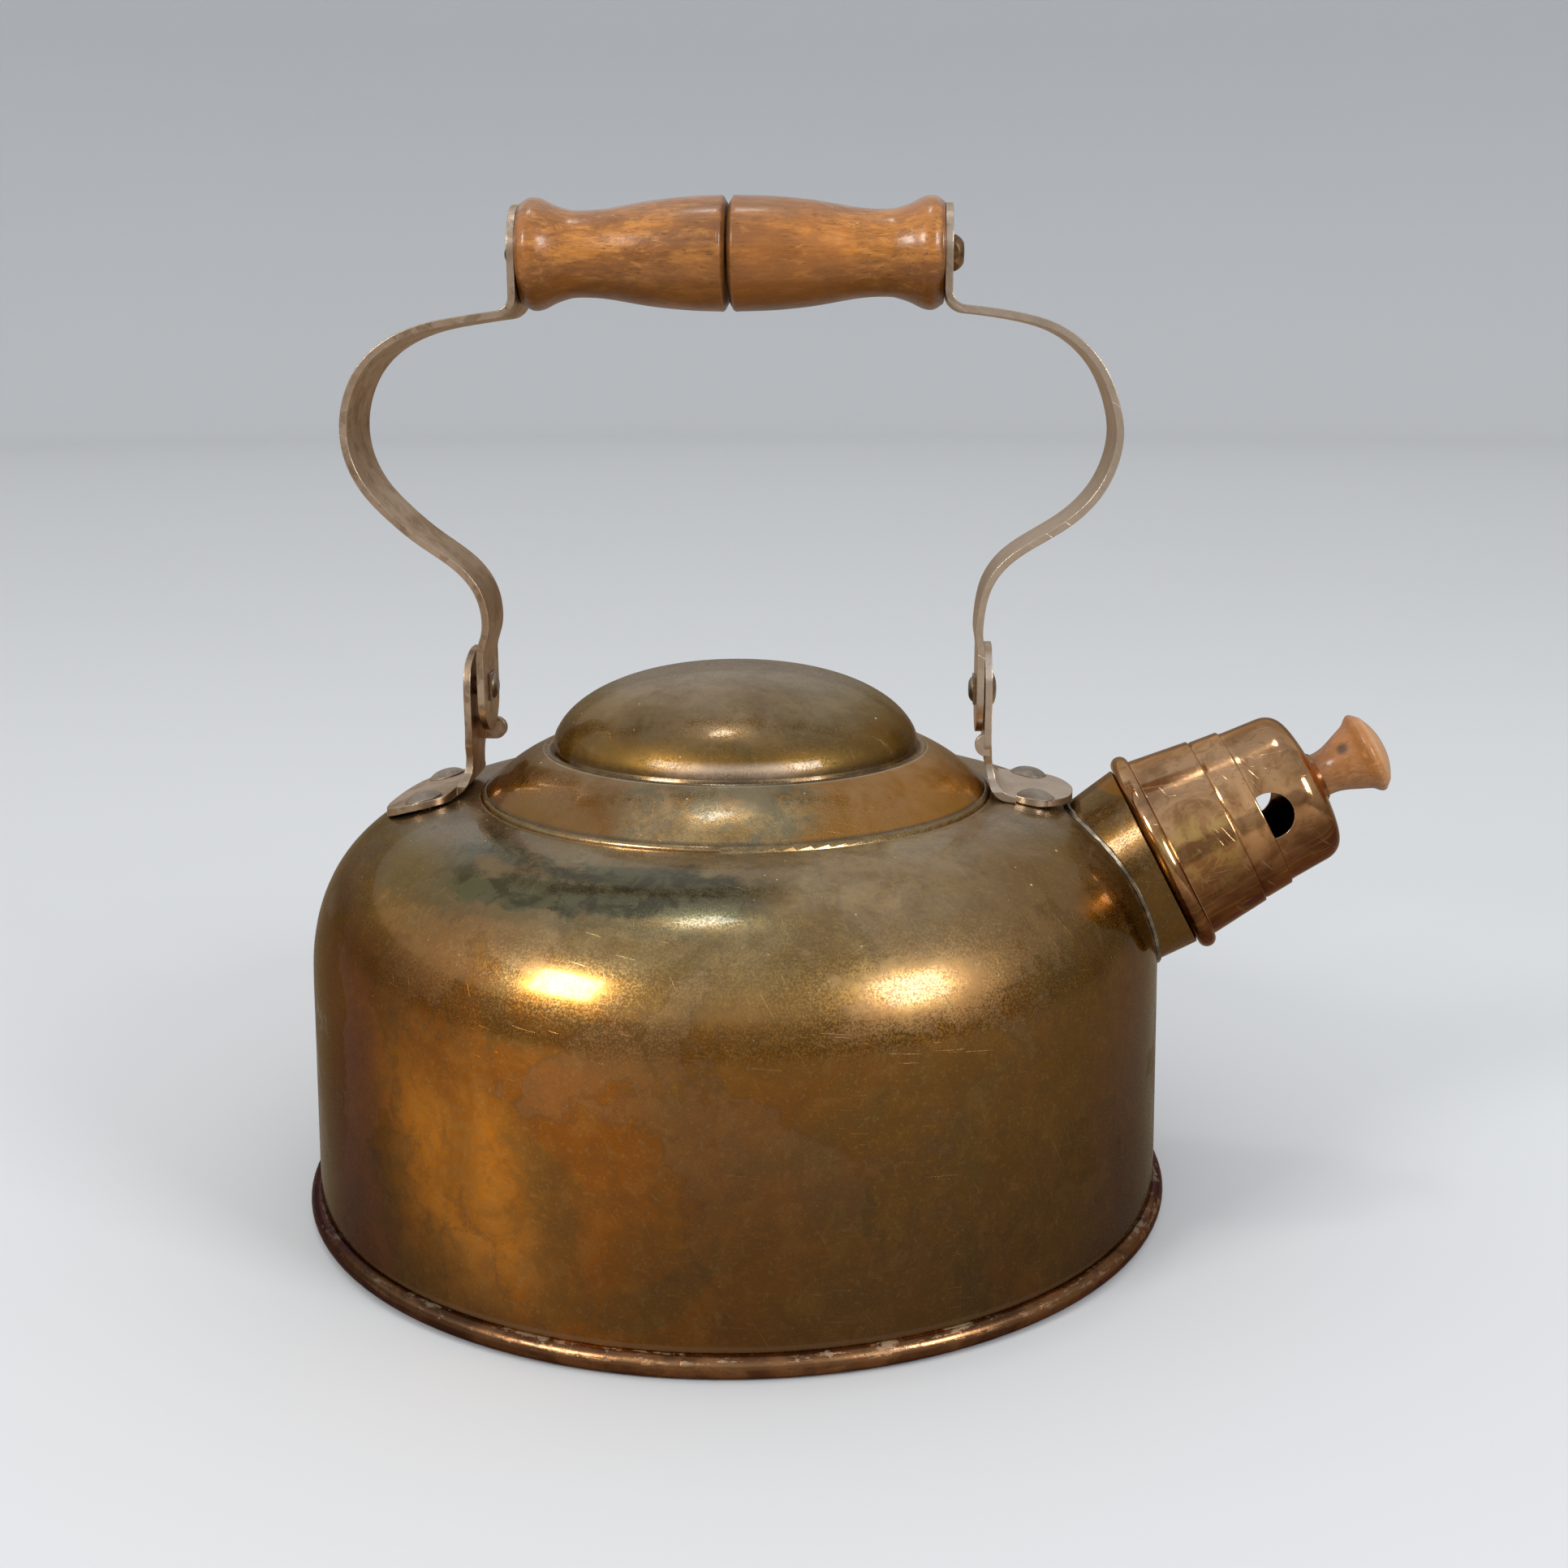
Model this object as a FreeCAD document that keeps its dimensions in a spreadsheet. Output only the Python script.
import FreeCAD, Part
import Sketcher
import math
import os

# Whistling tea kettle with a folding bail handle and a pull-off whistle cap.
# Millimetres, +Z up, origin at the centre of the base, +X towards the spout.
# "right" is the spout side (+X), "left" the opposite side (-X).

Vector, Rotation, Placement = FreeCAD.Vector, FreeCAD.Rotation, FreeCAD.Placement
doc = FreeCAD.newDocument("TeaKettle")
sheet = doc.addObject("Spreadsheet::Sheet", "Dims")

# ---------------------------------------------------------------- driving dimensions
TABLE = [
    # body of revolution
    ("wall_radius", 92.5), ("shoulder_radius", 91.5), ("wall_top", 52.1), ("sheet_thick", 0.8),
    ("shoulder_bulge", 89.7), ("shoulder_in", 55.0), ("shoulder_crown", 88.5),
    ("ledge_radius", 53.8), ("ledge_height", 89.7), ("ring_in", 41.2), ("ring_height", 98.3),
    ("dome_radius", 39.26), ("dome_foot", 99.03), ("dome_top", 115.5),
    ("base_thick", 0.8), ("bead_minor", 2.4), ("bead_mid", 92.3),
    # spout, along its own axis
    ("spout_tilt", 27.88), ("spout_cross", 26.34), ("tube_root", 21.0), ("tube_rim", 20.5),
    ("tube_shoulder", 102.3), ("neck_radius", 18.9), ("neck_end", 112.5), ("tube_wall", 0.8),
    ("seam_size", 0.7), ("root_radius", 18.6), ("root_drop", 1.6),
    ("mid_radius", 19.75), ("mid_drop", 0.75),
    # whistle cap, same axis
    ("cap_bead_mid", 20.7), ("cap_bead_minor", 1.95), ("cap_bead_pos", 104.75), ("cap_wall", 0.6),
    ("skirt_start", 20.6), ("skirt_end", 19.05), ("skirt_front", 119.2),
    ("capsule_radius", 18.5), ("capsule_front", 126.0),
    ("nose_radius", 17.2), ("nose_front", 141.4), ("steam_hole", 4.85), ("steam_hole_pos", 127.5),
    ("steam_hole_turn", -5.8),
    ("knob_neck", 4.75), ("knob_rim", 8.8), ("knob_length", 14.6),
    # handle
    ("pivot_height", 110.7), ("strap_thick", 1.5), ("strap_half", 8.0), ("strap_wide", 9.3),
    ("strap_face_right", 52.9), ("strap_face_left", 54.4), ("pivot_pin", 2.0), ("pivot_hole", 2.06),
    ("grip_height", 200.65), ("grip_end", 43.3), ("grip_flange", 11.3), ("grip_waist", 8.65),
    ("grip_middle", 11.5), ("grip_gap", 0.4), ("rod_radius", 1.9), ("grip_bore", 1.96),
    ("tab_face", 44.9), ("tab_top", 210.5),
    # brackets
    ("ear_inner_right", 53.15), ("ear_inner_left", 55.9), ("bracket_thick", 1.5),
    ("ear_top_right", 120.7), ("ear_top_left", 119.3),
    ("foot_half_right", 14.0), ("foot_half_left", 15.4),
    ("foot_end_right", 73.2), ("foot_end_left", 76.0),
    ("foot_shift_right", 4.3), ("foot_shift_left", 1.65),
    ("foot_rivet_y", 11.2), ("rivet_shank", 1.6),
]
TABLE = [entry for entry in TABLE if entry[0] != "tube_root"]
for row, (alias, value) in enumerate(TABLE, start=1):
    sheet.set("A%d" % row, alias)
    sheet.set("B%d" % row, str(value))
    sheet.setAlias("B%d" % row, alias)
VALUES = dict(TABLE)
doc.recompute()


class Length(float):
    """A number that also carries the sheet expression it comes from."""

    def __new__(cls, value, text):
        length = super().__new__(cls, value)
        length.text = text
        return length

    def _combine(self, other, sign, value):
        text = other.text if isinstance(other, Length) else "(%r)" % float(other)
        return Length(value, "(%s %s %s)" % (self.text, sign, text))

    def __add__(self, other):
        return self._combine(other, "+", float(self) + float(other))

    def __sub__(self, other):
        return self._combine(other, "-", float(self) - float(other))

    def __mul__(self, factor):
        return Length(float(self) * factor, "(%r * %s)" % (float(factor), self.text))

    def __neg__(self):
        return self * -1.0


def dim(alias):
    return Length(VALUES[alias], "Dims.%s" % alias)


def bind(obj, prop, value):
    """Set a property, through an expression when the value comes from the sheet."""
    if isinstance(value, Length):
        obj.setExpression(prop, value.text)
    else:
        setattr(obj, prop, value)


# ---------------------------------------------------------------- outlines
# A path is a list: its start point, then steps. A plain point is reached by a straight
# line; arc() and spline() give curved steps. An open path is closed by a straight line.
def arc(mid, end):
    return {"mid": mid, "end": end}


def spline(points, end, *tangents):
    """Spline through the points; tangents, if given, are those at its start and end."""
    return {"points": points, "end": end, "tangents": tangents}


def mirror_path(path, side):
    """The path with every x multiplied by side (1 or -1)."""
    def flip(point):
        return (point[0] * side, point[1])

    def flip_step(step):
        if not isinstance(step, dict):
            return flip(step)
        return {key: flip(value) if key in ("mid", "end") else [flip(p) for p in value]
                for key, value in step.items()}

    return [flip_step(step) for step in path]


def flat(point):
    return Vector(point[0], point[1], 0)


def make_curve(step, start, end):
    if "mid" in step:
        return Part.Arc(start, flat(step["mid"]), end)
    if "points" not in step:
        return Part.LineSegment(start, end)
    curve = Part.BSplineCurve()
    points = [start] + [flat(point) for point in step["points"]] + [end]
    if step["tangents"]:
        first, last = step["tangents"]
        curve.interpolate(Points=points, InitialTangent=flat(first), FinalTangent=flat(last))
    else:
        curve.interpolate(points)
    return curve


def draw_path(sketch, path):
    """Draw the closed path, join its pieces and dimension every corner."""
    position = path[0]
    steps = [step if isinstance(step, dict) else {"end": step} for step in path[1:]]
    if (flat(steps[-1]["end"]) - flat(position)).Length > 1e-6:
        steps.append({"end": position})
    pieces = []
    for step in steps:
        start = flat(position)
        index = sketch.addGeometry(make_curve(step, start, flat(step["end"])), False)
        # an arc may come back with its ends swapped
        first = 1 if (sketch.getPoint(index, 1) - start).Length < 1e-6 else 2
        pieces.append((index, first, 3 - first, position))
        position = step["end"]
    for piece, following in zip(pieces, pieces[1:] + pieces[:1]):
        sketch.addConstraint(Sketcher.Constraint(
            "Coincident", piece[0], piece[2], following[0], following[1]))
    for index, first, _, corner in pieces:
        for value, kind, zero_axis in ((corner[0], "DistanceX", -2), (corner[1], "DistanceY", -1)):
            if abs(value) < 1e-9:
                sketch.addConstraint(Sketcher.Constraint("PointOnObject", index, first, zero_axis))
                continue
            number = sketch.addConstraint(
                Sketcher.Constraint(kind, -1, 1, index, first, float(value)))
            if isinstance(value, Length):
                sketch.setExpression("Constraints[%d]" % number, value.text)


def sketched_body(label, plane_role, path):
    body = doc.addObject("PartDesign::Body", label)
    body.Label = label
    sketch = body.newObject("Sketcher::SketchObject", label + "_outline")
    plane = [f for f in body.Origin.OriginFeatures if f.Role == plane_role][0]
    sketch.AttachmentSupport = [(plane, "")]
    sketch.MapMode = "FlatFace"
    draw_path(sketch, path)
    doc.recompute()
    return body, sketch


def turned(label, path, axis="V_Axis"):
    """Outline in the body's XZ plane, turned about Z (V_Axis) or X (H_Axis)."""
    body, sketch = sketched_body(label, "XZ_Plane", path)
    turn = body.newObject("PartDesign::Revolution", label + "_turn")
    turn.Profile = sketch
    turn.ReferenceAxis = (sketch, [axis])
    turn.Angle = 360.0
    sketch.Visibility = False
    doc.recompute()
    return body


def padded(label, plane_role, length, path, midplane=False):
    body, sketch = sketched_body(label, plane_role, path)
    pad = body.newObject("PartDesign::Pad", label + "_pad")
    pad.Profile = sketch
    pad.Length = length
    if midplane:
        pad.Midplane = True
    sketch.Visibility = False
    doc.recompute()
    return body


# ---------------------------------------------------------------- solids and booleans
def cylinder(label, radius, height, place):
    solid = doc.addObject("Part::Cylinder", label)
    bind(solid, "Radius", radius)
    bind(solid, "Height", height)
    solid.Placement = place
    return solid


def box(label, length, width, height, place):
    solid = doc.addObject("Part::Box", label)
    solid.Length, solid.Width, solid.Height = length, width, height
    solid.Placement = place
    return solid


def cut(label, base, tools):
    tool = tools[0]
    if len(tools) > 1:
        tool = doc.addObject("Part::MultiFuse", label + "_tools")
        tool.Shapes = tools
    result = doc.addObject("Part::Cut", label)
    result.Base = base
    result.Tool = tool
    return result


def fuse(label, shapes):
    result = doc.addObject("Part::MultiFuse", label)
    result.Shapes = shapes
    return result


def common(label, shapes):
    result = doc.addObject("Part::MultiCommon", label)
    result.Shapes = shapes
    return result


# ---------------------------------------------------------------- placing
ONTO_X = Rotation(Vector(0, 1, 0), 90)       # a cylinder's axis turned onto +X
ONTO_Y = Rotation(Vector(1, 0, 0), -90)      # onto +Y
SPOUT = Placement(Vector(0, 0, dim("spout_cross")),
                  Rotation(Vector(0, 1, 0), 90.0 - dim("spout_tilt")))


def moved(x, y, z):
    return Placement(Vector(x, y, z), Rotation())


def turned_about_z(angle):
    return Placement(Vector(0, 0, 0), Rotation(Vector(0, 0, 1), angle))


def lift(obj, alias):
    obj.Placement = moved(0, 0, dim(alias))
    obj.setExpression("Placement.Base.z", dim(alias).text)
    return obj


def cylinder_along_x(label, radius, length, x, alias):
    """Cylinder from x towards +X, at the height the alias names."""
    solid = cylinder(label, radius, length, Placement(Vector(x, 0, dim(alias)), ONTO_X))
    solid.setExpression("Placement.Base.z", dim(alias).text)
    return solid


def along_spout(position, drop=0, side=0):
    """Placement on the spout's axis; drop is across it downwards, side is along Y."""
    return SPOUT.multiply(moved(drop, side, position))


def spout_turned(label, path):
    """Turned piece about the spout's axis; path points are (radius, position along it)."""
    body = turned(label, path)
    body.Placement = SPOUT
    body.setExpression("Placement.Base.z", "Dims.spout_cross")
    return body


# ---------------------------------------------------------------- Bezier curves
def bezier(control, t):
    points = control
    while len(points) > 1:
        points = [((1 - t) * p[0] + t * q[0], (1 - t) * p[1] + t * q[1])
                  for p, q in zip(points, points[1:])]
    return points[0]


def bezier_inside(control, count=18):
    """Points between the two ends of the curve."""
    return [bezier(control, i / float(count)) for i in range(1, count)]


def shoulder_control(grow=0.0):
    return [(dim("shoulder_radius") + grow, dim("wall_top")),
            (dim("shoulder_radius") + grow, dim("shoulder_bulge") + grow),
            (56.1, 87.6 + grow), (dim("shoulder_in"), dim("shoulder_crown") + grow)]


# ---------------------------------------------------------------- shell outlines
SHELL_FOOT = dim("base_thick") + 0.05        # just clear of the base plate
FOOT_BAND_TOP = 5.0                          # the wall is upright up to here


def shell_path(grow, solid):
    """Spun shell, (radius, z). grow enlarges the outside; solid closes it to the axis."""
    wall, shoulder = dim("wall_radius") + grow, dim("shoulder_radius") + grow
    wall_top, dome_top = dim("wall_top"), dim("dome_top") + grow
    dome_radius, dome_foot = dim("dome_radius"), dim("dome_foot") + grow
    dome = [(dome_radius, dome_foot), (39.2, 104.4 + grow), (29.96, dome_top), (0.0, dome_top)]
    outside = [
        (wall, SHELL_FOOT),
        (wall, FOOT_BAND_TOP),
        (shoulder, wall_top),
        spline(bezier_inside(shoulder_control(grow)),
               (dim("shoulder_in"), dim("shoulder_crown") + grow)),
        arc((54.75, 89.35 + grow), (dim("ledge_radius"), dim("ledge_height") + grow)),
        arc((47.95, 94.75 + grow), (dim("ring_in"), dim("ring_height") + grow)),
        arc((40.35, 98.0 + grow), (39.6, 98.35 + grow)),
        (dome_radius, dome_foot),
        spline(bezier_inside(dome), (0.0, dome_top)),
    ]
    if solid:
        return outside + [(0.0, SHELL_FOOT)]
    thick = dim("sheet_thick")
    inner_shoulder = [(shoulder - thick, wall_top), (90.7, 88.9), (56.3, 86.75), (54.3, 87.75)]
    inner_dome = [(dome_radius - thick, 99.3), (38.4, 103.9), (29.5, 114.7),
                  (0.0, dome_top - thick)]
    return outside + [
        (0.0, dome_top - thick),
        spline(bezier_inside(inner_dome)[::-1], inner_dome[0]),
        (38.9, 97.6),
        (40.6, 97.2),
        arc((47.2, 93.85), (52.9, 89.1)),
        (54.3, 87.75),
        spline(bezier_inside(inner_shoulder)[::-1], inner_shoulder[0]),
        (wall - thick, FOOT_BAND_TOP),
        (wall - thick, SHELL_FOOT),
    ]


# ---------------------------------------------------------------- bracket feet and rivets
SHOULDER_POINTS = [bezier(shoulder_control(), i / 400.0) for i in range(401)]


def shoulder_z(radius):
    """Height of the shoulder's outside at a radius."""
    for (r1, z1), (r0, z0) in zip(SHOULDER_POINTS, SHOULDER_POINTS[1:]):
        if r0 <= radius <= r1:
            return z0 + (z1 - z0) * (radius - r0) / (r1 - r0)


def above_shoulder(x, gap):
    """Point at a gap from the shoulder, measured square to it."""
    slope = shoulder_z(x + 0.5) - shoulder_z(x - 0.5)
    norm = math.hypot(slope, 1.0)
    return (x - slope / norm * gap, shoulder_z(x) + 1.0 / norm * gap)


def offset_up(points, distance):
    """Points running towards +X, moved upwards square to their direction."""
    result = []
    for i, point in enumerate(points):
        before, after = points[max(i - 1, 0)], points[min(i + 1, len(points) - 1)]
        dx, dz = after[0] - before[0], after[1] - before[1]
        norm = math.hypot(dx, dz)
        result.append((point[0] - dz / norm * distance, point[1] + dx / norm * distance))
    return result


# Each side in its own frame, +X outwards; turn brings it into place about Z.
# All points are (x, z).
#   underside: foot from the bend to the tip       ear: lower inner face of the ear, downwards
#   bend: middle of the inner bend                 lean: upper inner face of the ear, upwards
#   tab: inner and outer x of the folded tab       strap_end: centre of the strap's round end, z
SIDES = {
    "right": dict(
        turn=0, rivet_x=64.3,
        underside=[above_shoulder(58.3, 0.10), above_shoulder(61.0, 0.08),
                   above_shoulder(63.6, 0.09), (66.4, 87.06), (69.0, 86.92), (71.3, 86.74),
                   (dim("foot_end_right"), 86.66)],
        ear=[(53.3, 98.0), (53.75, 94.2), (54.3, 92.0)], bend=(55.35, 89.8),
        lean=[(53.1, 116.6), (53.0, 119.0), (52.85, 122.0)],
        tab=(51.2, 54.4), strap_end=109.6),
    "left": dict(
        turn=180, rivet_x=65.8,
        underside=[above_shoulder(60.2, 0.10)]
        + [above_shoulder(x, 0.08) for x in (62.0, 65.0, 68.0, 71.0, 73.6, dim("foot_end_left"))],
        ear=[(56.05, 98.0), (56.3, 94.2), (56.55, 92.0)], bend=(57.6, 89.65),
        lean=[(55.75, 116.4), (55.25, 118.6), (54.3, 122.0)],
        tab=(51.3, 57.0), strap_end=109.0),
}
RIVET_BORE = dim("rivet_shank") + 0.04
PIN_BORE = dim("pivot_pin") + 0.03

# the foot's upper face, and where the rivets sit on it
for side in SIDES.values():
    side["upper"] = offset_up(side["underside"], dim("bracket_thick"))
    for (x0, z0), (x1, z1) in zip(side["upper"], side["upper"][1:]):
        if x0 <= side["rivet_x"] <= x1:
            side["rivet_z"] = z0 + (z1 - z0) * ((side["rivet_x"] - x0) / (x1 - x0))
            side["rivet_slope"] = math.degrees(math.atan2(z0 - z1, x1 - x0))


def rivet_in_side(name, sign):
    """Rivet placement in the side's own frame, z = 0 on the foot's upper face."""
    side = SIDES[name]
    y = dim("foot_shift_" + name) + sign * dim("foot_rivet_y")
    return Placement(Vector(side["rivet_x"], y, side["rivet_z"]),
                     Rotation(Vector(0, 1, 0), side["rivet_slope"]))


def rivet_place(name, sign):
    return turned_about_z(SIDES[name]["turn"]).multiply(rivet_in_side(name, sign))


# ---------------------------------------------------------------- body
def body_shell(form):
    mouth_radius, mouth_start, mouth_drop = 17.7, 55.0, 0.9
    tools = [cylinder("spout_mouth", mouth_radius, 60.0, along_spout(mouth_start, mouth_drop))]
    for name in SIDES:
        for sign in (1, -1):
            place = rivet_place(name, sign).multiply(moved(0, 0, -8))
            tools.append(cylinder("rivet_bore", RIVET_BORE, 9.0, place))
    return cut("body_shell", form, tools)


def base_plate():
    """Flat disc with a round bead outside the foot of the wall."""
    mid, minor, thick = dim("bead_mid"), dim("bead_minor"), dim("base_thick")
    seat = dim("wall_radius") + 0.06
    rise = math.sqrt(minor ** 2 - (seat - mid) ** 2)
    return turned("base_plate", [
        (0.0, 0.0),
        (mid, 0.0),
        arc((mid + minor, minor), (seat, minor + rise)),
        (seat, thick),
        (0.0, thick),
    ])


# ---------------------------------------------------------------- spout tube and its seam
TUBE_START, TUBE_MIDDLE = 84.0, 94.0         # along the spout's axis
FIT_GAP = 0.03                               # between the seam and what it lies on


def tube_loft(label, grow=0.0, overrun=0.0):
    """Tapered tube through three circles; overrun lengthens it at both ends."""
    stations = [
        # position, radius, drop
        (TUBE_START - overrun, dim("root_radius"), dim("root_drop")),
        (TUBE_MIDDLE, dim("mid_radius"), dim("mid_drop")),
        (dim("tube_shoulder") + overrun, dim("tube_rim"), 0.0),
    ]
    rings = []
    for k, (position, radius, drop) in enumerate(stations):
        ring = doc.addObject("Part::Circle", "%s_ring_%d" % (label, k))
        bind(ring, "Radius", radius + grow)
        ring.Placement = along_spout(position, drop)
        rings.append(ring)
    loft = doc.addObject("Part::Loft", label)
    loft.Sections = rings
    loft.Solid = True
    loft.Ruled = False
    return loft


def spout_tube(shell_solid):
    shoulder, neck, end = dim("tube_shoulder"), dim("neck_radius"), dim("neck_end")
    wall = dim("tube_wall")
    skin = tube_loft("tube_skin")
    hollow = tube_loft("tube_hollow", -wall, 0.1)
    neck_solid = spout_turned("tube_neck", [
        (0.0, shoulder),
        (dim("tube_rim"), shoulder),
        spline([(20.25, 102.62), (19.4, 102.82)], (neck, 103.4), (0, 1), (-0.3, 1)),
        (neck, end - 0.3),
        arc((neck - 0.12, end - 0.08), (neck - 0.4, end)),
        (0.0, end),
    ])
    neck_bore = spout_turned("neck_bore", [
        (0.0, 101.4), (19.45, 101.4), (neck - wall, 103.0), (neck - wall, 114.0), (0.0, 114.0)])
    blank = fuse("tube_blank", [skin, neck_solid])
    return cut("spout_tube", blank, [hollow, neck_bore, shell_solid])


def spout_solder_seam(shell_solid, shell_grown):
    """What a wider sleeve and a larger shell share, outside the tube and the shell."""
    outer = tube_loft("seam_out", dim("seam_size"))
    inner = tube_loft("seam_in", FIT_GAP, 0.1)
    band = common("seam_band", [outer, shell_grown])
    return cut("spout_solder_seam", band, [inner, shell_solid])


# ---------------------------------------------------------------- whistle cap
def cap_skirt():
    mid, minor, position = dim("cap_bead_mid"), dim("cap_bead_minor"), dim("cap_bead_pos")
    end, front = dim("skirt_end"), dim("skirt_front")
    inner, lip = 19.95, 18.46
    half_bead = math.sqrt(minor ** 2 - (mid - inner) ** 2)
    return spout_turned("cap_skirt", [
        (inner, position - half_bead),
        arc((mid + minor, position), (dim("skirt_start") + 0.02, position + 1.93)),
        (end, front),
        arc((end - 0.12, front + 0.38), (lip, front + 0.55)),
        (lip, front - 0.35),
        (19.42, 112.2),
        (inner, 107.6),
    ])


def cap_spring_sleeve():
    """Split sleeve inside the skirt, gripping the spout's neck."""
    inner, outer, start, end = 18.96, 19.32, 103.9, 111.6
    slot_width = 1.6
    ring = spout_turned("sleeve_raw", [
        (inner, start), (inner, end), (outer, end), (outer, start)])
    slot = box("sleeve_slot", 4.0, slot_width, 12.0, along_spout(102.0, 17.5, -slot_width / 2))
    return cut("cap_spring_sleeve", ring, [slot])


def whistle_capsule():
    radius, front, skirt = dim("capsule_radius"), dim("capsule_front"), dim("skirt_front")
    return spout_turned("whistle_capsule", [
        (18.4, 116.0),
        (18.4, skirt + 0.62),
        arc((radius, skirt + 0.95), (radius, skirt + 1.5)),
        (radius - 0.5, front - 0.25),
        arc((radius - 0.62, front + 0.12), (17.42, front + 0.3)),
        (17.42, 122.4), (17.75, 122.2), (17.75, 116.0),
    ])


# two drilled discs with the sounding gap between them
DISC_HOLE = 2.0


def whistle_rear_disc():
    return spout_turned("whistle_rear_disc", [
        (DISC_HOLE, 116.6), (17.7, 116.6), (17.7, 117.2), (DISC_HOLE, 117.2)])


def whistle_front_disc():
    return spout_turned("whistle_front_disc", [
        (DISC_HOLE, 123.9),
        (8.2, 123.9),
        arc((9.4, 123.3), (10.2, 121.8)),
        (17.3, 121.4), (17.3, 122.0), (11.0, 122.3),
        arc((10.1, 123.9), (8.5, 124.5)),
        (DISC_HOLE, 124.5),
    ])


def cap_nose():
    radius, front, capsule = dim("nose_radius"), dim("nose_front"), dim("capsule_front")
    inside = front - dim("cap_wall")
    raw = spout_turned("nose_raw", [
        (17.36, 122.9),
        (17.36, capsule + 0.45),
        arc((radius + 0.12, capsule + 0.8), (radius + 0.05, capsule + 1.3)),
        (16.75, 134.2),
        spline([(16.45, 136.2), (15.4, 138.0), (13.2, 139.35), (9.6, 140.15)],
               (5.9, 140.45), (-0.06, 1), (-1, 0.06)),
        (5.0, front), (1.75, front), (1.75, inside), (4.7, inside), (5.5, 139.85),
        spline([(9.4, 139.55), (12.9, 138.8), (14.9, 137.6), (15.85, 136.0)],
               (16.15, 134.2), (1, -0.06), (0.06, -1)),
        (radius - 0.55, capsule + 1.3),
        (16.76, 122.9),
    ])
    # one cylinder across the nose opens both steam holes
    rotation = Rotation(Vector(0, 0, 1), dim("steam_hole_turn")).multiply(ONTO_Y)
    place = SPOUT.multiply(Placement(Vector(0, 0, dim("steam_hole_pos")), rotation))
    holes = cylinder("steam_holes", dim("steam_hole"), 50.0, place.multiply(moved(0, 0, -25)))
    return cut("cap_nose", raw, [holes])


def whistle_knob():
    neck, rim, front = dim("knob_neck"), dim("knob_rim"), dim("nose_front")
    bore = 1.72
    return spout_turned("whistle_knob", [
        (bore, front + 0.06),
        (neck, front + 0.06),
        spline([(4.85, 143.3), (5.5, 145.6), (6.6, 148.2), (7.8, 150.6)],
               (rim, front + 10.4), (0, 1), (0.5, 1)),
        arc((rim + 0.08, front + 10.9), (rim - 0.15, front + 11.35)),
        (7.4, front + 12.7),
        spline([(5.5, 155.0), (2.8, 155.8)], (0.0, front + dim("knob_length")),
               (-1, 0.5), (-1, 0)),
        (0.0, front + 9.6),
        (bore, front + 8.6),
    ])


def knob_washer():
    inside = dim("nose_front") - dim("cap_wall")
    bore, rim = 1.75, 4.0
    return spout_turned("knob_washer", [
        (bore, inside - 0.75), (rim, inside - 0.75), (rim, inside - 0.1), (bore, inside - 0.1)])


def knob_screw():
    front = dim("nose_front")
    inside = front - dim("cap_wall")
    shank = 1.68
    return spout_turned("knob_screw", [
        (0.0, inside - 2.4),
        (1.6, inside - 2.4),
        arc((2.85, inside - 1.75), (3.2, inside - 0.8)),
        (shank, inside - 0.8),
        (shank, front + 7.6),
        (0.0, front + 9.0),
    ])


# ---------------------------------------------------------------- handle straps
# outer face of each strap, (x, z), from the foot of the grip's tab down to the pivot
STRAP_OUTER = {
    "right": [
        (47.5, 190.3), (54.0, 189.5), (60.0, 188.4), (66.0, 186.5), (71.3, 183.1), (75.6, 178.2),
        (78.6, 171.6), (79.85, 165.0), (78.9, 158.6), (75.4, 151.7), (69.6, 146.1), (62.5, 141.7),
        (57.3, 137.9), (54.2, 133.6), (52.75, 128.2), (52.45, 122.9),
        (dim("strap_face_right"), 118.3)],
    "left": [
        (47.5, 189.3), (54.0, 188.4), (60.0, 187.4), (66.0, 185.7), (71.7, 182.8), (76.5, 178.3),
        (79.6, 172.4), (80.85, 165.4), (80.0, 159.2), (77.0, 153.0), (71.8, 147.2), (65.4, 141.8),
        (59.3, 137.5), (55.2, 133.2), (53.2, 128.2), (53.2, 122.8),
        (dim("strap_face_left"), 117.2)],
}
# edge of the strap where it widens upwards, (half width, z)
STRAP_EDGE = [(8.15, 129.0), (8.65, 136.0), (9.15, 143.0)]


def strap_inner_points(outer, thick, count=44):
    curve = Part.BSplineCurve()
    curve.interpolate(Points=[flat(point) for point in outer],
                      InitialTangent=Vector(1, -0.1, 0), FinalTangent=Vector(0, -1, 0))
    points = []
    for i in range(count + 1):
        u = curve.FirstParameter + (curve.LastParameter - curve.FirstParameter) * i / float(count)
        point, tangent = curve.value(u), curve.tangent(u)[0]
        tangent.normalize()
        points.append((point.x + tangent.y * thick, point.y - tangent.x * thick))
    return points


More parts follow.
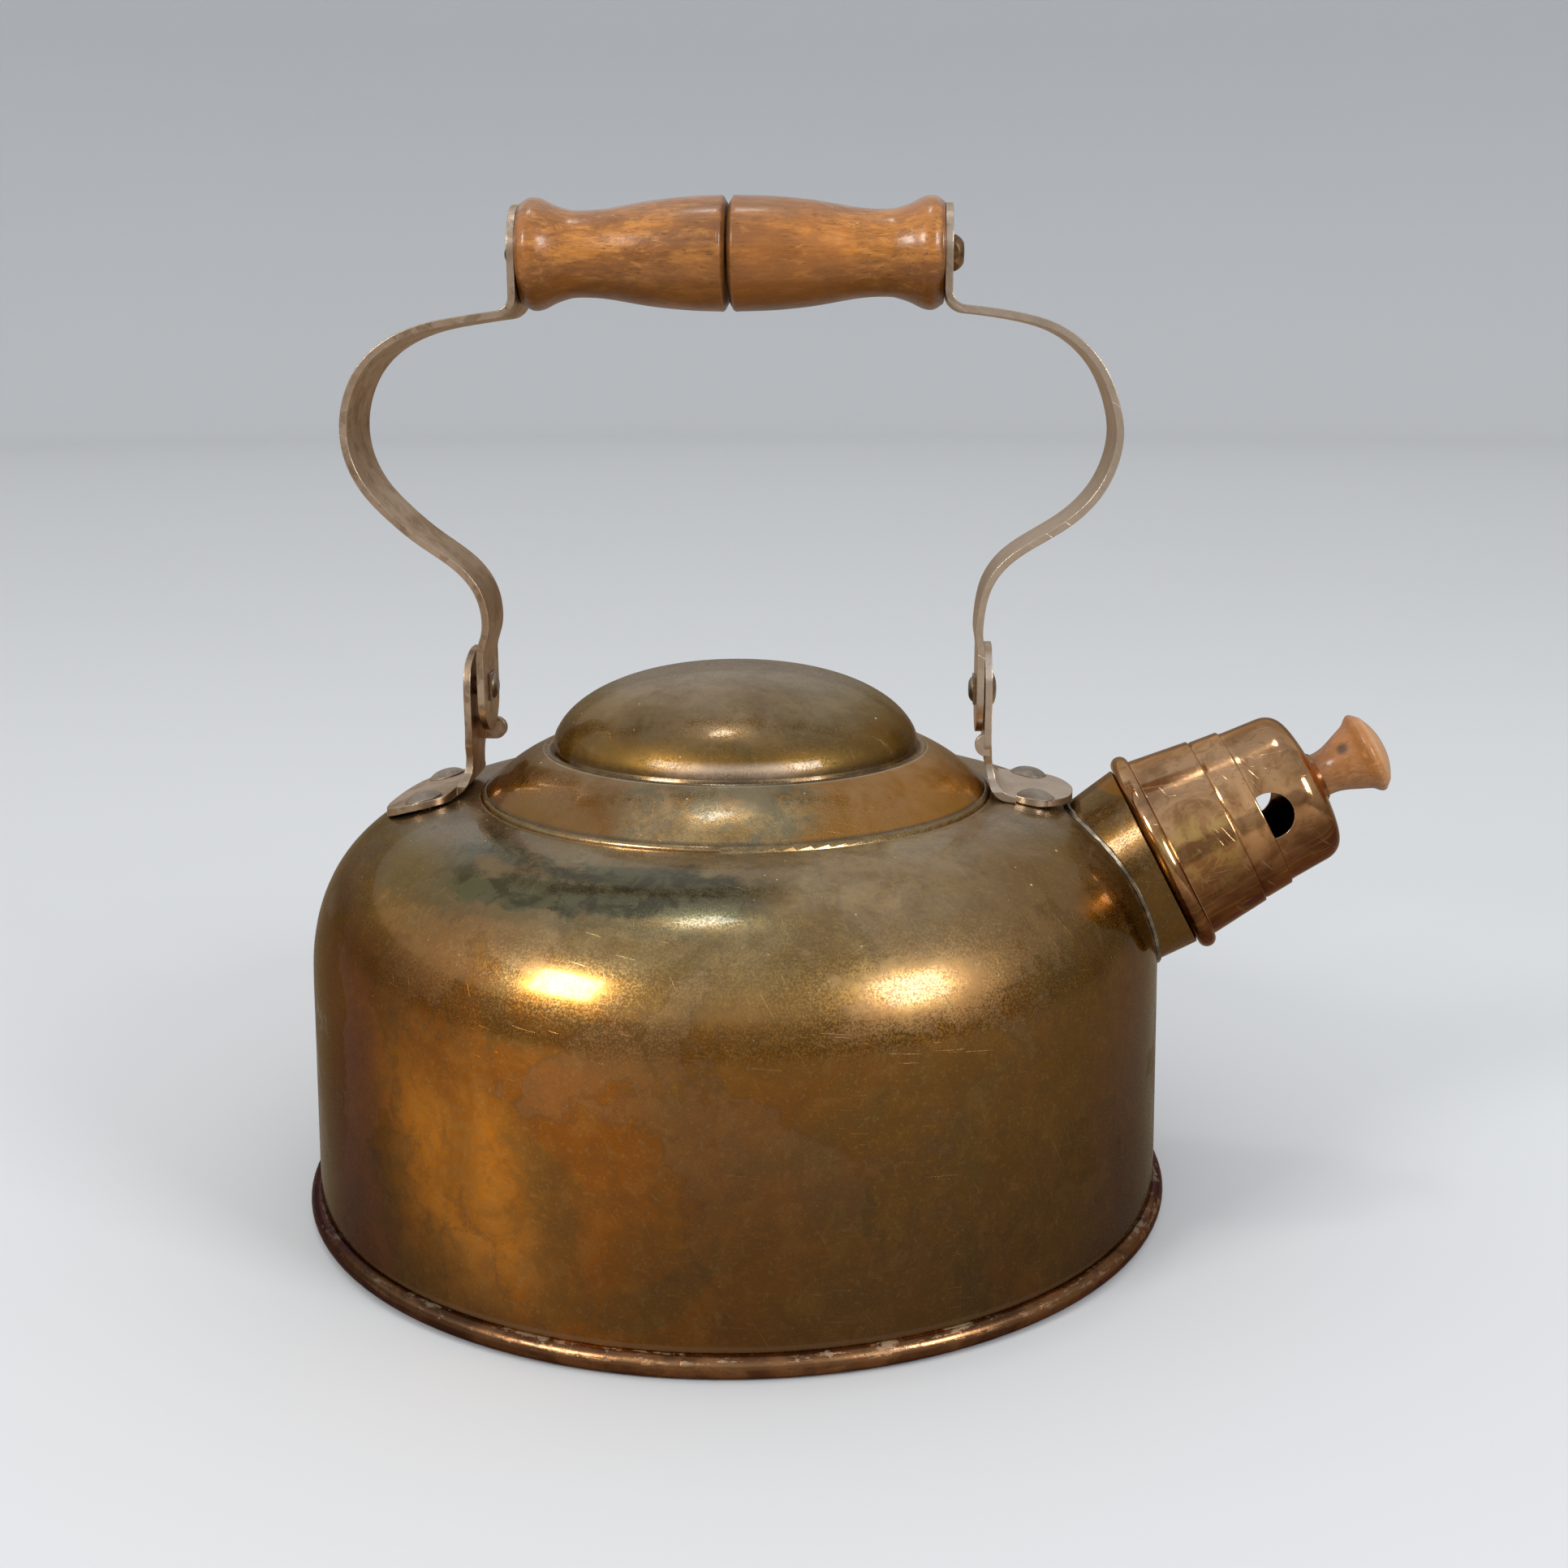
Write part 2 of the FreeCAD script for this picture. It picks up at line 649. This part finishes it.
def strap(name):
    """One bent strap, drawn on the +X side: side view and front view intersected."""
    outer = STRAP_OUTER[name]
    thick, face, tab = dim("strap_thick"), dim("strap_face_" + name), dim("tab_face")
    shift = outer[0][1] - 190.1
    side_top, side_bottom = 212.0, 96.0      # beyond the front view's ends
    inner = strap_inner_points(outer, thick)
    side_view = padded(name + "_strap_side", "XZ_Plane", 40.0, [
        (tab, side_top),
        (tab, 193.0 + shift),
        arc((45.72, 190.98 + shift), outer[0]),
        spline(outer[1:-1], outer[-1], (1, -0.1), (0, -1)),
        (face, side_bottom),
        (face - thick, side_bottom),
        (face - thick, inner[-1][1]),
        spline(inner[-2:0:-1], inner[0]),
        arc((44.62, 190.02 + shift), (tab - thick, 193.0 + shift)),
        (tab - thick, side_top),
    ], midplane=True)

    half, wide = dim("strap_half"), dim("strap_wide")
    bottom = SIDES[name]["strap_end"]
    top = dim("tab_top") - wide
    front_view = padded(name + "_strap_front", "YZ_Plane", 100.0, [
        (half, bottom),
        (half, 124.0),
        spline(STRAP_EDGE, (wide, 150.0), (0, 1), (0, 1)),
        (wide, top),
        arc((0.0, dim("tab_top")), (-wide, top)),
        (-wide, 150.0),
        spline([(-y, z) for y, z in reversed(STRAP_EDGE)], (-half, 124.0), (0, -1), (0, -1)),
        (-half, bottom),
        arc((0.0, bottom - half), (half, bottom)),
    ])
    blank = common(name + "_strap_blank", [side_view, front_view])
    pin_bore = cylinder_along_x(name + "_strap_pin_bore", dim("pivot_hole"), 20.0, 45,
                                "pivot_height")
    rod_bore = cylinder_along_x(name + "_strap_rod_bore", dim("rod_radius") + 0.04, 10.0, 40,
                                "grip_height")
    return cut(name + "_strap_bored", blank, [pin_bore, rod_bore])


def right_handle_strap():
    result = strap("right")
    result.Label = "right_handle_strap"
    return result


def left_handle_strap():
    result = doc.addObject("Part::Mirroring", "left_handle_strap")
    result.Source = strap("left")
    result.Base = Vector(0, 0, 0)
    result.Normal = Vector(1, 0, 0)
    return result


# ---------------------------------------------------------------- grip halves, rod and nut
GRIP_OVERLAP = 0.4                           # the right half reaches this far past x = 0


def grip(label, side, inner):
    """Half of the grip; inner is its middle end, measured from the centre to its own side."""
    end, bore = dim("grip_end"), dim("grip_bore")
    path = [
        (end, bore),
        (end, 9.7),
        arc((43.12, 10.12), (42.75, 10.35)),
        spline([(41.9, 10.95)], (40.7, dim("grip_flange")), (-0.7, 0.7), (-1, 0)),
        spline([(39.0, 11.0), (36.6, 9.85), (33.9, 8.95)], (30.6, dim("grip_waist")),
               (-1, 0), (-1, 0)),
        spline([(26.0, 8.95), (18.5, 10.2), (9.0, 11.25)], (inner + 1.6, dim("grip_middle")),
               (-1, 0), (-1, 0.02)),
        arc((inner + 0.85, 11.38), (inner + 0.55, 10.95)),
        (inner, 10.0),
        (inner, bore),
    ]
    return lift(turned(label, mirror_path(path, side), "H_Axis"), "grip_height")


def handle_rod():
    """Rod through the grip, with a head outside the left strap."""
    radius = dim("rod_radius")
    head_face = -(dim("tab_face") + 0.05)
    left_end, right_end = -47.0, 46.5
    return lift(turned("handle_rod", [
        (left_end, 0.0),
        (left_end, 0.3),
        arc((-46.6, 1.35), (-45.9, 2.1)),
        (head_face, 2.7),
        (head_face, radius),
        (46.2, radius),
        (right_end, radius - 0.3),
        (right_end, 0.0),
    ], "H_Axis"), "grip_height")


def rod_nut():
    """Domed hexagon nut on the rod's right end."""
    tab = dim("tab_face")
    hexagon = doc.addObject("Part::Prism", "nut_hex")
    hexagon.Polygon = 6
    hexagon.Circumradius = 3.75
    hexagon.Height = 2.35
    hexagon.Placement = Placement(Vector(tab + 0.05, 0, dim("grip_height")), ONTO_X)
    hexagon.setExpression("Placement.Base.x", (tab + 0.05).text)
    dome = lift(turned("nut_turn", [
        (tab, 0.0),
        (tab, 3.62),
        (45.5, 3.62),
        arc((46.5, 3.02), (47.25, 2.0)),
        (47.4, 0.0),
    ], "H_Axis"), "grip_height")
    blank = common("nut_blank", [hexagon, dome])
    bore = cylinder_along_x("nut_bore", dim("rod_radius") + 0.02, 1.7, tab, "grip_height")
    return cut("rod_nut", blank, [bore])


# ---------------------------------------------------------------- brackets
# foot's rounded tip: (distance back from the end, half width before scaling)
FOOT_TIP = [(4.1, 12.5), (2.2, 9.8), (0.7, 5.2), (0.2, 1.8)]
EAR_STRAIGHT = (102.0, 114.6)                # heights between which the ear is upright


def bracket_side(name):
    """Bent sheet in side view: ear, bend and foot."""
    side, thick = SIDES[name], dim("bracket_thick")
    inner = dim("ear_inner_" + name)
    ear, lean, under = side["ear"], side["lean"], side["underside"]
    upper = side["upper"][::-1]
    bend_x, bend_z = side["bend"]
    low, high = EAR_STRAIGHT
    return padded(name + "_bracket_side", "XZ_Plane", 60.0, [
        (inner, high),
        (inner, low),
        spline(ear[:-1], ear[-1], (0, -1), (0.25, -1)),
        arc(side["bend"], under[0]),
        spline(under[1:-1], under[-1]),
        upper[0],
        spline(upper[1:-2], upper[-2]),
        arc((bend_x + 1.1, bend_z + 1.55), (ear[-1][0] + thick, ear[-1][1] + 0.5)),
        spline([(x + thick, z + 0.4) for x, z in reversed(ear[:-1])], (inner + thick, low),
               (-0.25, 1), (0, 1)),
        (inner + thick, high),
        spline([(x + thick, z) for x, z in lean[:-1]], (lean[-1][0] + thick, lean[-1][1]),
               (0, 1), (-0.3, 1)),
        lean[-1],
        spline(lean[-2::-1], (inner, high), (0.3, -1), (0, -1)),
    ], midplane=True)


def bracket_ear(name):
    """Ear seen along X, waisted above the foot."""
    top = dim("ear_top_" + name)
    shift = top - 119.9
    return padded(name + "_bracket_ear", "YZ_Plane", 60.0, [
        (0.0, top),
        spline([(-4.4, 119.0 + shift), (-7.4, 114.6 + shift)], (-8.1, 108.5), (-1, 0), (0, -1)),
        spline([(-8.0, 102.0), (-7.9, 99.0), (-6.4, 96.2)], (-6.9, 92.8), (0, -1), (-0.4, -1)),
        spline([(-9.0, 91.2)], (-10.0, 90.4), (-0.6, -1), (-1, -0.4)),
        (-10.0, 80.0),
        (10.0, 80.0),
        (10.0, 90.4),
        spline([(9.0, 91.2)], (6.9, 92.8), (-1, 0.4), (-0.6, 1)),
        spline([(6.4, 96.2), (7.9, 99.0), (8.0, 102.0)], (8.1, 108.5), (-0.4, 1), (0, 1)),
        spline([(7.4, 114.6 + shift), (4.4, 119.0 + shift)], (0.0, top), (0, 1), (-1, 0)),
    ])


def bracket_foot(name):
    """Foot seen from above."""
    mid_y, half, end = (dim(key + name) for key in ("foot_shift_", "foot_half_", "foot_end_"))
    start = SIDES[name]["underside"][0][0] - 1.0
    scale = half / 15.0
    near_tip = [(end - back, mid_y - width * scale) for back, width in FOOT_TIP]
    far_tip = [(end - back, mid_y + width * scale) for back, width in reversed(FOOT_TIP)]
    return padded(name + "_bracket_foot", "XY_Plane", 200.0, [
        (start, 0.0),
        (start, mid_y - 9.0),
        spline([(start + 1.0, mid_y - 12.2 * scale)], (start + 4.0, mid_y - 14.6 * scale),
               (0.1, -1), (1, -0.4)),
        arc((start + 7.9, mid_y - half), (end - 6.4, mid_y - 14.1 * scale)),
        spline(near_tip, (end - 0.1, mid_y)),
        spline(far_tip, (end - 6.4, mid_y + 14.1 * scale)),
        arc((start + 7.9, mid_y + half), (start + 4.0, mid_y + 14.6 * scale)),
        spline([(start + 1.0, mid_y + 12.2 * scale)], (start, mid_y + 9.0),
               (-1, -0.4), (-0.1, -1)),
    ])


def bracket_tab(name):
    """Folded stop tab on the ear's -Y edge, in the side's own frame."""
    inner, outer = SIDES[name]["tab"]
    low, high = 97.6, 102.4
    radius = (high - low) / 2
    tab = padded(name + "_bracket_tab", "XZ_Plane", 1.6, [
        (outer, low),
        (outer, high),
        (inner + radius, high),
        arc((inner, 100.0), (inner + radius, low)),
    ])
    tab.Placement = moved(0, -6.35, 0)
    return tab


def bracket(name):
    """Side view intersected with the ear and foot views, plus the tab, then drilled."""
    label = name + "_bracket"
    side_view, ear_view, foot_view = bracket_side(name), bracket_ear(name), bracket_foot(name)
    ear_slab = box(label + "_ear_zone", 14.0, 60.0, 60.0, moved(48, -30, 70))
    ear_zone = common(label + "_ear_blank", [ear_view, ear_slab])
    zone = fuse(label + "_zone", [ear_zone, foot_view])
    blank = common(label + "_blank", [side_view, zone])
    whole = fuse(label + "_whole", [blank, bracket_tab(name)])
    holes = [cylinder_along_x(label + "_pin_hole", PIN_BORE, 20.0, 45, "pivot_height")]
    for sign in (1, -1):
        place = rivet_in_side(name, sign)
        holes.append(cylinder(label + "_rivet_hole", RIVET_BORE, 12.0,
                              place.multiply(moved(0, 0, -8))))
        # flat seat under each rivet head
        holes.append(cylinder(label + "_rivet_seat", 4.2, 1.6,
                              place.multiply(moved(0, 0, 0.02))))
    result = cut(label, whole, holes)
    result.Placement = turned_about_z(SIDES[name]["turn"])
    return result


def foot_rivets(name):
    """Two rivets; each shank goes down through foot and shell."""
    label = name + "_foot_rivets"
    shank = dim("rivet_shank")
    top, head_seat, tail_seat, bottom = 1.35, 0.06, -3.35, -4.15
    rivets = []
    for i, sign in enumerate((1, -1)):
        rivet = turned("%s_%d" % (label, i), [
            (0.0, top),
            (0.6, top),
            arc((2.6, 1.0), (4.0, head_seat)),
            (shank, head_seat),
            (shank, tail_seat),
            (2.5, tail_seat),
            arc((1.8, -3.9), (0.5, bottom)),
            (0.0, bottom),
        ])
        rivet.Placement = rivet_place(name, sign)
        rivets.append(rivet)
    compound = doc.addObject("Part::Compound", label)
    compound.Links = rivets
    return compound


# ---------------------------------------------------------------- pivots
def pivot_rivet(name, side):
    """Rivet along X, head outside the ear and tail inside the strap."""
    pin = dim("pivot_pin")
    ear = dim("ear_inner_" + name) + dim("bracket_thick")
    inside = dim("strap_face_" + name) - dim("strap_thick")
    path = [
        (ear + 1.15, 0.0),
        (ear + 1.15, 0.6),
        arc((ear + 0.84, 2.6), (ear + 0.04, 4.05)),
        (ear + 0.04, pin),
        (inside - 0.62, pin),
        (inside - 0.62, 2.75),
        arc((inside - 1.22, 2.1), (inside - 1.45, 0.6)),
        (inside - 1.45, 0.0),
    ]
    return lift(turned(name + "_pivot_rivet", mirror_path(path, side), "H_Axis"), "pivot_height")


def pivot_washer(name, side):
    """Square burr washer under the rivet's tail."""
    thick, width, bore_length = 0.5, 5.9, 20.0
    inner = dim("strap_face_" + name) - dim("strap_thick") - 0.58
    x = inner if side > 0 else -inner - thick
    bore_x = 45 if side > 0 else -45 - bore_length
    blank = box(name + "_washer_blank", thick, width, width,
                moved(x, -width / 2, dim("pivot_height") - width / 2))
    bore = cylinder_along_x(name + "_washer_bore", PIN_BORE, bore_length, bore_x, "pivot_height")
    return cut(name + "_pivot_washer", blank, [bore])


# ---------------------------------------------------------------- build, check and write
shell_form = turned("shell_form", shell_path(0.0, False))
shell_solid = turned("shell_solid", shell_path(FIT_GAP, True))
shell_grown = turned("shell_grown", shell_path(dim("seam_size"), True))

parts = [
    body_shell(shell_form),
    base_plate(),
    spout_tube(shell_solid),
    spout_solder_seam(shell_solid, shell_grown),
    cap_skirt(),
    cap_spring_sleeve(),
    whistle_capsule(),
    whistle_rear_disc(),
    whistle_front_disc(),
    cap_nose(),
    whistle_knob(),
    knob_washer(),
    knob_screw(),
    right_handle_strap(),
    left_handle_strap(),
    grip("grip_right", 1, -GRIP_OVERLAP),
    grip("grip_left", -1, dim("grip_gap") + GRIP_OVERLAP),
    handle_rod(),
    rod_nut(),
    bracket("right"),
    bracket("left"),
    foot_rivets("right"),
    foot_rivets("left"),
    pivot_rivet("right", 1),
    pivot_washer("right", 1),
    pivot_rivet("left", -1),
    pivot_washer("left", -1),
]
doc.recompute()

bad = []
for obj in doc.Objects:
    if "Invalid" in obj.State or "Error" in obj.State:
        bad.append("%s: %s" % (obj.Name, obj.State))
for part in parts:
    shape = part.Shape
    if shape.isNull() or not shape.isValid() or not shape.Solids:
        bad.append("%s: null, not valid or no solid" % part.Label)
if bad:
    raise SystemExit("failed: " + "; ".join(bad))
os.makedirs("parts", exist_ok=True)
for part in parts:
    part.Shape.exportStep("parts/%s.step" % part.Label)
